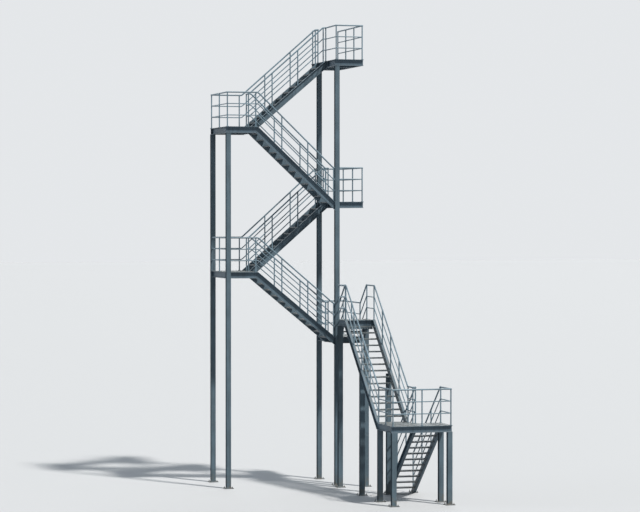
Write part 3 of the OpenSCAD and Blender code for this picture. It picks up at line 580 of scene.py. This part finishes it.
def rails(b, line, ends, posts):
    """The rails of a panel over a line of floor points. A free end lies at the panel's own post,
    a post end is welded to a post of another panel, and a face end to a column's plate."""
    ways = [(q - p).normalized() for p, q in zip(line, line[1:])]
    for height, is_top in RAILS:
        path = [p + UP * height for p in line]
        r, sides = (TOP_RAIL_R, TOP_RAIL_SIDES) if is_top else (MID_RAIL_R, MID_RAIL_SIDES)
        for end, way in ((0, -ways[0]), (-1, ways[-1])):
            past, back = RAIL_ENDS[ends[end]][is_top]
            path[end] = path[end] + way * past
            if back is not None:
                off, size = RAIL_END_BEADS[ends[end]]
                bead(b, circle(path[end] - way * back, way, r + off), size)
        tube(b, bent(path), r, sides, False, [is_top and kind == "free" for kind in ends])
        if not is_top:
            beads_at_posts(b, path, ways, posts)


def panel(b, floor, start, finish, posts, ends):
    """A level panel between two plan points, with posts at other plan points."""
    spots = [Vector((*p, floor)) for p in posts]
    rails(b, [Vector((*start, floor)), Vector((*finish, floor))], ends, spots)
    for p in spots:
        post(b, p.x, p.y, floor, floor + GUARD_H)


def panel_x(b, floor, x0, x1, posts, y, ends):
    panel(b, floor, (x0, y), (x1, y), [(x, y) for x in posts], ends)


def panel_y(b, floor, y0, y1, posts, x, ends):
    panel(b, floor, (x, y0), (x, y1), [(x, y) for y in posts], ends)


def between(u0, u1):
    """Places of the posts between two others, about a bay apart."""
    n = max(1, round((u1 - u0) / BAY))
    return [u0 + k * (u1 - u0) / n for k in range(1, n)]


def left_landing(b, level, passed):
    """Where the columns pass the landing, its rails end on them. Else it has corner posts."""
    x0 = AT_COLUMN if passed else RAIL_LEFT
    y0 = AT_COLUMN if passed else RAIL_FRONT + BUTT
    y1 = BACK_COL_Y - AT_COLUMN if passed else RAIL_BACK - BUTT
    corner = [] if passed else [RAIL_LEFT]
    for y in (RAIL_FRONT, RAIL_BACK):
        panel_x(b, level, x0, POST_LEFT_EDGE, corner + [POST_LEFT_EDGE], y,
                ("face" if passed else "free", "free"))
    panel_y(b, level, y0, y1, between(RAIL_FRONT, RAIL_BACK), RAIL_LEFT,
            ("face", "face") if passed else BOTH_POSTS)
    panel_y(b, level, LANE_RAIL_FRONT, LANE_RAIL_BACK, [LANE_RAIL_FRONT, LANE_RAIL_BACK],
            POST_LEFT_EDGE, BOTH_FREE)


def top_landing(b):
    back = TOP_BACK_Y - RAIL_IN
    panel_x(b, TOP, POST_RIGHT_EDGE, RAIL_RIGHT, [POST_RIGHT_EDGE, RAIL_RIGHT], RAIL_FRONT,
            BOTH_FREE)
    panel_y(b, TOP, RAIL_FRONT + BUTT, back, between(RAIL_FRONT, back) + [back], RAIL_RIGHT,
            ("post", "free"))
    panel_y(b, TOP, RAIL_FRONT + BUTT, LANE_RAIL_BACK,
            between(RAIL_FRONT, LANE_RAIL_BACK) + [LANE_RAIL_BACK], POST_RIGHT_EDGE,
            ("post", "free"))
    panel_y(b, TOP, RAIL_BACK, back, [RAIL_BACK, back], POST_RIGHT_EDGE, BOTH_FREE)


def lower_right_landing(b):
    for y in (RAIL_FRONT, RAIL_BACK):
        panel_x(b, LOWER_RIGHT, COLUMN_SPACING + AT_COLUMN, RAIL_RIGHT, [RAIL_RIGHT], y,
                ("face", "free"))
    panel_y(b, LOWER_RIGHT, RAIL_FRONT + BUTT, RAIL_BACK - BUTT, between(RAIL_FRONT, RAIL_BACK),
            RAIL_RIGHT, BOTH_POSTS)
    panel_y(b, LOWER_RIGHT, LANE_RAIL_FRONT, LANE_RAIL_BACK, [LANE_RAIL_FRONT, LANE_RAIL_BACK],
            POST_RIGHT_EDGE, BOTH_FREE)


def base_landing(b):
    """The link flight's guards end on the right panel's first post and on a post of its own."""
    first = LINK_Y1 + LINK_RUN + RAIL_IN
    panel_x(b, BASE, COLUMN_SPACING + AT_COLUMN, RAIL_RIGHT, [RAIL_RIGHT], RAIL_BACK,
            ("face", "free"))
    panel_y(b, BASE, first, RAIL_BACK - BUTT, [first] + between(first, RAIL_BACK), RAIL_RIGHT,
            ("free", "post"))
    panel_y(b, BASE, LANE_RAIL_FRONT, BACK_COL_Y - AT_COLUMN, [LANE_RAIL_FRONT, LANE_RAIL_BACK],
            POST_RIGHT_EDGE, ("free", "face"))
    post(b, LINK_POST_X, first, BASE, BASE + GUARD_H + TOP_RAIL_R)


def link_platform(b):
    y0, y1 = LINK_Y0 + RAIL_IN, LINK_Y1 - RAIL_IN
    for x in (RAIL_LONG, RAIL_RIGHT):
        panel_y(b, LINK, y0, y1, [y0, y1], x, BOTH_FREE)
    panel_x(b, LINK, RAIL_LONG + BUTT, LINK_POST_X, [LINK_POST_X], y1, ("post", "free"))


def turning_landing(b):
    x1, x2 = GROUND_X0 + RAIL_IN, GROUND_X1 - RAIL_IN
    y0, y1, y2 = TURNING_Y0 + RAIL_IN, TURNING_Y1 - RAIL_IN, TURNING_Y2 - RAIL_IN
    panel_x(b, TURNING, RAIL_LONG, x2, [RAIL_LONG] + between(RAIL_LONG, x2) + [x2], y0, BOTH_FREE)
    panel_y(b, TURNING, y0 + BUTT, y2, between(y0, y2) + [y2], RAIL_LONG, ("post", "free"))
    panel_y(b, TURNING, y0 + BUTT, y1, [y1], x2, ("post", "free"))
    panel_y(b, TURNING, y1, y2, [y1, y2], RAIL_RIGHT, BOTH_FREE)
    panel_x(b, TURNING, RAIL_RIGHT + BUTT, x1, [x1], y1, ("post", "free"))


def guard_piece(name, draw, *values):
    """The piece that stands for a guard node."""
    b = Build()
    draw(b, *values)
    b.make("pipe_" + name, ["guard", "fastener"], (name,))


guard_piece("upper_left_landing_guards", left_landing, UPPER_LEFT, False)
guard_piece("lower_left_landing_guards", left_landing, LOWER_LEFT, True)
guard_piece("top_landing_guards", top_landing)
guard_piece("lower_right_landing_guards", lower_right_landing)
guard_piece("base_landing_guards", base_landing)
guard_piece("link_platform_guards", link_platform)
guard_piece("turning_landing_guards", turning_landing)

# how far from the right landings a flight's guard line bends, and the x at which the line starts
# where it leaves a post over the flight's edge or a left landing's post. Its lower end is alike.
BEND_OUT = END_POST_OUT + CAD_POST_R / 2
AT_POST, PAST_EDGE = BUTT - RAIL_IN, BUTT - EDGE_POST_IN
LANE_GUARDS = (RAIL_IN, LANE_W - RAIL_IN)


def line_z(line, x):
    """Height of a line of (x, z) points at x."""
    for (x0, z0), (x1, z1) in zip(line, line[1:]):
        if x <= x1 + TINY:
            return z0 + (z1 - z0) * (x - x0) / (x1 - x0)
    return line[-1][1]


def flight_guards(b, flight, lines, posts, sides, ends):
    """Both guards of a flight, from their lines of (x, z) points in the flight's own frame."""
    slope = flight.drop / flight.run
    along = flight.at(1, 0, 0) - flight.at(0, 0, 0)
    for line, y, kinds in zip(lines, sides, ends):
        spots = [flight.at(x, y, line_z(line, x)) for x in posts]
        rails(b, [flight.at(x, y, z) for x, z in line], kinds, spots)
        for x, spot in zip(posts, spots):
            foot = flight.at(x, y, -slope * x - DECK_T)
            post(b, foot.x, foot.y, foot.z, spot.z + GUARD_H, along * slope)


def tower_flight(b, flight, kinds):
    """Both guards of a flight in the tower. On the left they end on a landing's posts, and on
    the right each as kinds says."""
    down, lines, ends = -flight.drop, [], []
    for kind in kinds:
        past = AT_POST if kind == "post" else WELD_GAP
        if flight.along == TO_RIGHT:
            lines.append([(PAST_EDGE, 0), (0, 0), (RUN - BEND_OUT, down), (RUN - past, down)])
            ends.append(("post", kind))
        else:
            lines.append([(past, 0), (BEND_OUT, 0), (RUN, down), (RUN - PAST_EDGE, down)])
            ends.append((kind, "post"))
    posts = [k * BAY - EDGE_POST_IN for k in (1, 2, 3)]
    if flight.along == TO_LEFT:
        posts = [RUN + EDGE_POST_IN - k * BAY for k in (1, 2, 3)]
    flight_guards(b, flight, lines, posts, LANE_GUARDS, ends)


def between_posts(flight):
    """A guard line from post to post, down a flight with a landing's post at either end."""
    down = -flight.drop
    return [(AT_POST, 0), (0, 0), (flight.run, down), (flight.run - AT_POST, down)]


def long_flight(b, flight):
    flight_guards(b, flight, [between_posts(flight)] * 2, [k * LONG_RUN / 4 for k in (1, 2, 3)],
                  LANE_GUARDS, [BOTH_POSTS] * 2)


def ground_flight(b, flight):
    line = [(AT_POST, 0), (0, 0), (GROUND_END, -TURNING * GROUND_END / GROUND_RUN)]
    flight_guards(b, flight, [line] * 2, [k * GROUND_END / 3 for k in (1, 2, 3)],
                  (RAIL_IN, GROUND_LANE_W - RAIL_IN), [("post", "free")] * 2)


def link_flight(b, flight):
    flight_guards(b, flight, [between_posts(flight)] * 2, [], (RAIL_IN, LINK_FAR - POST_R),
                  [BOTH_POSTS] * 2)


guard_piece("top_flight_guards", tower_flight, FLIGHTS["top"], ("post", "post"))
guard_piece("upper_flight_guards", tower_flight, FLIGHTS["upper"], ("face", "post"))
guard_piece("middle_flight_guards", tower_flight, FLIGHTS["middle"], ("post", "face"))
guard_piece("lower_flight_guards", tower_flight, FLIGHTS["lower"], ("face", "post"))
guard_piece("long_flight_guards", long_flight, FLIGHTS["long"])
guard_piece("ground_flight_guards", ground_flight, FLIGHTS["ground"])
guard_piece("link_flight_guards", link_flight, FLIGHTS["link"])

# ---------------------------------------------------------------- checker plate
PITCH, MARGIN, PATTERN_SHARP, SAME_LEVEL = 0.030, 0.004, 60, 0.001
BAR_HALF, RIDGE_HALF, BAR_SIDE, BAR_H, BAR_SUNK = 0.0125, 0.0060, 0.0036, 0.0020, 0.0004
BAR_POINTS = [(-BAR_HALF, 0, -BAR_SUNK), (0, -BAR_SIDE, -BAR_SUNK), (BAR_HALF, 0, -BAR_SUNK),
              (0, BAR_SIDE, -BAR_SUNK), (-RIDGE_HALF, 0, BAR_H), (RIDGE_HALF, 0, BAR_H)]
BAR_FACES = [(0, 1, 4), (1, 5, 4), (1, 2, 5), (2, 3, 5), (3, 4, 5), (3, 0, 4), (0, 3, 2, 1)]
COS_45 = math.sqrt(0.5)
BARS = [[((x - k * y) * COS_45, (k * x + y) * COS_45, z) for x, y, z in BAR_POINTS]
        for k in (1, -1)]


def lay_bars(b, x0, x1, y0, y1, z, clear=()):
    """Raised bars of a checker plate, each turned across its neighbours, apart from where clear
    holds boxes of (x0, x1, y0, y1)."""
    nx, ny = int((x1 - x0 - MARGIN) / PITCH), int((y1 - y0 - MARGIN) / PITCH)
    left, low = (x0 + x1 - (nx - 1) * PITCH) / 2, (y0 + y1 - (ny - 1) * PITCH) / 2
    for i in range(nx):
        for j in range(ny):
            x, y = left + i * PITCH, low + j * PITCH
            if not any(a < x < c and e < y < g for a, c, e, g in clear):
                b.add([(x + dx, y + dy, z + dz) for dx, dy, dz in BARS[(i + j) % 2]], BAR_FACES)


def square(x, y, half):
    return (x - half, x + half, y - half, y + half)


def deck_bars(name, decks):
    """Bars on decks given as (level, x0, x1, y0, y1, boxes without plate)."""
    b = Build()
    for level, x0, x1, y0, y1, holes in decks:
        feet = [square(x, y, PLATE_HALF) for x, y, z in POST_FEET
                if abs(z - level) < SAME_LEVEL]
        lay_bars(b, x0, x1, y0, y1, level, holes + feet)
    b.make("bars_" + name, ["bar"], sharp=PATTERN_SHARP)


# how far the pattern keeps from the deck's edge at a column and at the turning landing's corner
FROM_COLUMN_EDGE, FROM_EDGE = 0.010, 0.012
PAST_COLUMN = HALF_COL + DECK_GAP + FROM_COLUMN_EDGE
LEFT_HOLES, RIGHT_HOLES = ([square(x, y, PAST_COLUMN) for y in (0, BACK_COL_Y)]
                           for x in (0, COLUMN_SPACING))
TOWER_DECKS = [(TOP, RIGHT_X0, RIGHT_X1, FRONT_Y, TOP_BACK_Y, []),
               (UPPER_LEFT, LEFT_X, LEFT_EDGE, FRONT_Y, BACK_Y, []),
               (LOWER_RIGHT, RIGHT_X0, RIGHT_X1, FRONT_Y, BACK_Y, RIGHT_HOLES),
               (LOWER_LEFT, LEFT_X, LEFT_EDGE, FRONT_Y, BACK_Y, LEFT_HOLES),
               (BASE, RIGHT_X0, RIGHT_X1, FRONT_Y, BACK_Y, RIGHT_HOLES)]
LINK_DECK = (LINK, LONG_X0, RIGHT_X1, LINK_Y0, LINK_Y1, [])
TURNING_DECK = (TURNING, LONG_X0, GROUND_X1, TURNING_Y0, TURNING_Y2,
                [(RIGHT_X1 - FROM_EDGE, GROUND_X1, TURNING_Y1 - FROM_EDGE, TURNING_Y2)])
deck_bars("tower_decks", TOWER_DECKS)
deck_bars("link_platform_deck", [LINK_DECK])
deck_bars("turning_landing_deck", [TURNING_DECK])

for name, flight in FLIGHTS.items():
    b = Build()
    for x0, x1, z in flight.tread_places():
        p, q = flight.at(x0, flight.sides[0], z), flight.at(x1, flight.sides[1], z)
        lay_bars(b, min(p.x, q.x), max(p.x, q.x), min(p.y, q.y), max(p.y, q.y), p.z)
    b.make("bars_" + name + "_flight_treads", ["bar"], sharp=PATTERN_SHARP)

# ---------------------------------------------------------------- bolts and welds
ANCHOR_D, ANCHOR_OUT = 0.020, 0.046
CAP_BOLT_D, CAP_BOLT_OUT = 0.016, 0.026
# how far the cap plates' bolts stand from a column's axis, and in X from a right column's
CAP_BOLT_AT, CAP_BOLT_AT_RIGHT = 0.036, 0.034
# sizes of the beads round the feet, at the stringers' ends and along treads and decks
FOOT_BEAD, STRINGER_BEAD, THIN_BEAD = 0.0055, 0.0040, 0.0034
FOOT_STEP = 0.020
# where the welds of a stringer's end start and stop, as shares of its depth
CUT_SHARES = (0.06, 0.94)
# how far welds stay from the edge of a flange, of a beam's face and of the base landing's deck
FLANGE_SEAM_IN, BEAM_SEAM_IN, DECK_SEAM_IN = 0.002, 0.012, 0.004
# welds along the decks' edges: the first one's place, their spacing and their length
WELD_FIRST, WELD_STEP, WELD_LEN = 0.14, 0.33, 0.055


def anchors(b, x, y, dx, dy):
    """Four anchor bolts about the middle of a base plate."""
    for u, v, side_x, side_y in corners(x, y, dx, dy):
        stud(b, (u, v, BASE_PLATE_T), UP, ANCHOR_D, x + side_y, ANCHOR_OUT)


b = Build()
for x, y in LEGS:
    anchors(b, x, y, ANCHOR_SPACING / 2, ANCHOR_SPACING / 2)
for x in (GROUND_X0 + RAIL_IN, GROUND_X1 - RAIL_IN):
    anchors(b, x, FOOT_Y, FOOT_PLATE_W / 2 - FOOT_HOLE_IN, FOOT_PLATE_L / 2 - FOOT_HOLE_IN)
b.make("anchor_bolts", ["fastener"])

# three bolts that hold each landing frame's corner down on a cap plate, clear of the column's web
b = Build()
for x, y in TOWER_COLUMNS:
    left = x == 0
    cap_top = (UPPER_LEFT if left else TOP) - DECK_T - CHANNEL_H
    beam_x = -CAP_BOLT_AT if left else -CAP_BOLT_AT_RIGHT
    beam_y = -CAP_BOLT_AT if y == 0 else CAP_BOLT_AT
    for dx, dy in ((beam_x, beam_y), (-beam_x, beam_y), (beam_x, -beam_y)):
        turn = x + dx * 9 + dy * 4
        bolt(b, (x + dx, y + dy, cap_top - CAP_T), -UP, CAP_BOLT_D, turn)
        stud(b, (x + dx, y + dy, cap_top + CHANNEL_FLANGE), UP, CAP_BOLT_D, turn, CAP_BOLT_OUT)
b.make("cap_plate_bolts", ["fastener"])

# fillet welds round the feet of the columns and legs, along the section's outline
b = Build()
HALF_WEB, FLANGE_IN = COLUMN_WEB / 2, HALF_COL - COLUMN_FLANGE
ROOT_IN = COLUMN_ROOT * (1 - COS_45)
CORNER = [(HALF_COL, FLANGE_IN), (HALF_WEB + COLUMN_ROOT, FLANGE_IN),
          (HALF_WEB + ROOT_IN, FLANGE_IN - ROOT_IN), (HALF_WEB, FLANGE_IN - COLUMN_ROOT)]
SECTION = [(HALF_COL, HALF_COL)] + CORNER + [(x, -y) for x, y in CORNER[::-1]]
SECTION += [(HALF_COL, -HALF_COL)] + [(-x, -y) for x, y in SECTION] + [(-HALF_COL, HALF_COL)]
for x, y in LEGS:
    outline = [(x + dx, y + dy, BASE_PLATE_T) for dx, dy in SECTION]
    bead(b, stepped(outline, FOOT_STEP, closed=True), FOOT_BEAD)
b.make("foot_welds", ["weld"])


def channel_welds(b, flight):
    """Welds where a flight's channels meet landing beams and column plates: on both faces of the
    web, and under the lower flange of a mitred end."""
    angle = math.atan2(flight.drop, flight.run)
    mitre, plumb = CHANNEL_H * math.tan(angle / 2), CHANNEL_H / math.cos(angle)
    near, far = flight.sides
    webs = ((near, near - CHANNEL_WEB), (far, far + CHANNEL_WEB))
    for cuts, faces, flange in zip(flight.cuts, webs, (near - CHANNEL_W, far)):
        for end, cut in enumerate(cuts):
            x, z = (flight.run, -flight.drop - DECK_T) if end else (0, -DECK_T)
            lean, depth = (mitre, CHANNEL_H) if cut == "mitre" else (0, plumb)
            if cut != "foot":
                for y in faces:
                    seam(b, [flight.at(x - lean * t, y, z - depth * t) for t in CUT_SHARES],
                         STRINGER_BEAD)
            if cut == "mitre":
                seam(b, [flight.at(x - mitre, y, z - CHANNEL_H)
                         for y in (flange + FLANGE_SEAM_IN, flange + CHANNEL_W)], STRINGER_BEAD)


b = Build()
for flight in FLIGHTS.values():
    if flight.cuts:
        channel_welds(b, flight)
# the link flight's plates are welded to the platform's beam and down onto the base landing
flight = FLIGHTS["link"]
DECK_EDGE = FRONT_Y - LINK_Y1
PLATE_END = LINK_RUN - DECK_T * LINK_RUN / flight.drop
DOWN_BEAM = (DECK_T + BEAM_SEAM_IN, DECK_T + CHANNEL_H - BEAM_SEAM_IN)
for y in (CHANNEL_W - PLATE_STRINGER_T, CHANNEL_W, LINK_FAR, LINK_FAR + PLATE_STRINGER_T):
    seam(b, [flight.at(0, y, -down) for down in DOWN_BEAM], STRINGER_BEAD)
    seam(b, [flight.at(x, y, -flight.drop) for x in (DECK_EDGE + DECK_SEAM_IN, PLATE_END)],
         STRINGER_BEAD)
b.make("stringer_welds", ["weld"])

# welds at both ends of each tread, along its top and down its folds
b = Build()
for flight in FLIGHTS.values():
    for x0, x1, z in flight.tread_places():
        outline = ((x0, z - TREAD_FOLD), (x0, z), (x1, z), (x1, z - TREAD_FOLD))
        for y in flight.sides:
            seam(b, [flight.at(x, y, height) for x, height in outline], THIN_BEAD)
b.make("tread_welds", ["weld"])

# short welds that hold the decks down along their edges
b = Build()
OUTLINES = [(level, [(x0, y0), (x1, y0), (x1, y1), (x0, y1)])
            for level, x0, x1, y0, y1, holes in TOWER_DECKS + [LINK_DECK]]
OUTLINES.append((TURNING, [(LONG_X0, TURNING_Y0), (GROUND_X1, TURNING_Y0),
                           (GROUND_X1, TURNING_Y1), (RIGHT_X1, TURNING_Y1),
                           (RIGHT_X1, TURNING_Y2), (LONG_X0, TURNING_Y2)]))
for level, outline in OUTLINES:
    for (ax, ay), (cx, cy) in zip(outline, outline[1:] + outline[:1]):
        length = math.hypot(cx - ax, cy - ay)
        way = Vector((cx - ax, cy - ay, 0)) / length
        reach = WELD_FIRST
        while reach + 2 * WELD_LEN < length:
            start = Vector((ax, ay, level - DECK_T)) + way * reach
            seam(b, [start, start + way * WELD_LEN], THIN_BEAD)
            reach += WELD_STEP
b.make("deck_welds", ["weld"])

# ---------------------------------------------------------------- studio
FLOOR_SEEN, FLOOR_BOUNCE = (0.586, 0.590, 0.598, 1), (0.26, 0.27, 0.28, 1)
BACKDROP_SEEN, SKY, SKY_STRENGTH = (0.780, 0.800, 0.820, 1), (0.72, 0.86, 1.0, 1), 0.24
FLOOR_HALF, FLOOR_Z = 400, -0.002
SUN_AWAY = 60
CAMERA_AT, CAMERA_AIM, CAMERA_LENS = (-19.83, -80.10, 8.93), (2.66, -1.6, 7.62), 142


def seen_directly(node):
    """1 for what the camera sees, also in a reflection or through glass, and 0 for soft light."""
    path = node("LightPath").outputs
    straight = node("Math", {0: path["Is Camera Ray"], 1: path["Is Glossy Ray"]},
                    operation="MAXIMUM").outputs[0]
    return node("Math", {0: straight, 1: path["Is Transmission Ray"]},
                operation="MAXIMUM").outputs[0]


floor_material = bpy.data.materials.new("floor")
floor_material.use_nodes = True
node = nodes_of(floor_material)
colour = mixed(node, seen_directly(node), FLOOR_BOUNCE, FLOOR_SEEN)
shader = node("BsdfPrincipled", {"Base Color": colour, "Roughness": 0.9,
                                 "Specular IOR Level": 0.1})
node("OutputMaterial", {"Surface": shader.outputs[0]})

floor_mesh = bpy.data.meshes.new("studio_floor")
floor_corners = [(x, y, FLOOR_Z) for x, y, *side in corners(0, 0, FLOOR_HALF, FLOOR_HALF)]
floor_mesh.from_pydata(floor_corners, [], [(0, 2, 3, 1)])
floor_mesh.materials.append(floor_material)
floor = bpy.data.objects.new("studio_floor", floor_mesh)
bpy.context.scene.collection.objects.link(floor)

world = bpy.data.worlds.new("studio")
bpy.context.scene.world = world
world.use_nodes = True
node = nodes_of(world)
sky = node("Background", {"Color": SKY, "Strength": SKY_STRENGTH})
backdrop = node("Background", {"Color": BACKDROP_SEEN, "Strength": 1.0})
joined = node("MixShader", {0: seen_directly(node), 1: sky.outputs[0], 2: backdrop.outputs[0]})
node("OutputWorld", {"Surface": joined.outputs[0]})


def sun(name, toward, strength, angle, colour):
    """A sun lamp that shines in the direction toward, angle degrees wide."""
    data = bpy.data.lights.new(name, "SUN")
    data.energy, data.angle, data.color = strength, math.radians(angle), colour
    lamp = bpy.data.objects.new(name, data)
    lamp.rotation_mode = "QUATERNION"
    lamp.rotation_quaternion = Vector(toward).to_track_quat("-Z", "Y")
    lamp.location = -Vector(toward).normalized() * SUN_AWAY
    bpy.context.scene.collection.objects.link(lamp)


sun("key", (-0.30, 0.51, -0.81), strength=3.6, angle=4, colour=(1.0, 0.98, 0.94))
sun("fill_left", (0.90, -0.30, -0.25), strength=0.6, angle=50, colour=(0.86, 0.93, 1.0))
sun("fill_back", (-0.45, -0.80, -0.35), strength=1.1, angle=50, colour=(0.90, 0.95, 1.0))

camera_data = bpy.data.cameras.new("camera")
camera_data.sensor_width = 36
camera_data.lens = CAMERA_LENS
camera_data.clip_start, camera_data.clip_end = 1, 2000
camera = bpy.data.objects.new("camera", camera_data)
camera.location = CAMERA_AT
camera.rotation_mode = "QUATERNION"
camera.rotation_quaternion = (Vector(CAMERA_AIM) - camera.location).to_track_quat("-Z", "Y")
bpy.context.scene.collection.objects.link(camera)
bpy.context.scene.camera = camera
bpy.context.scene.view_settings.view_transform = "Standard"
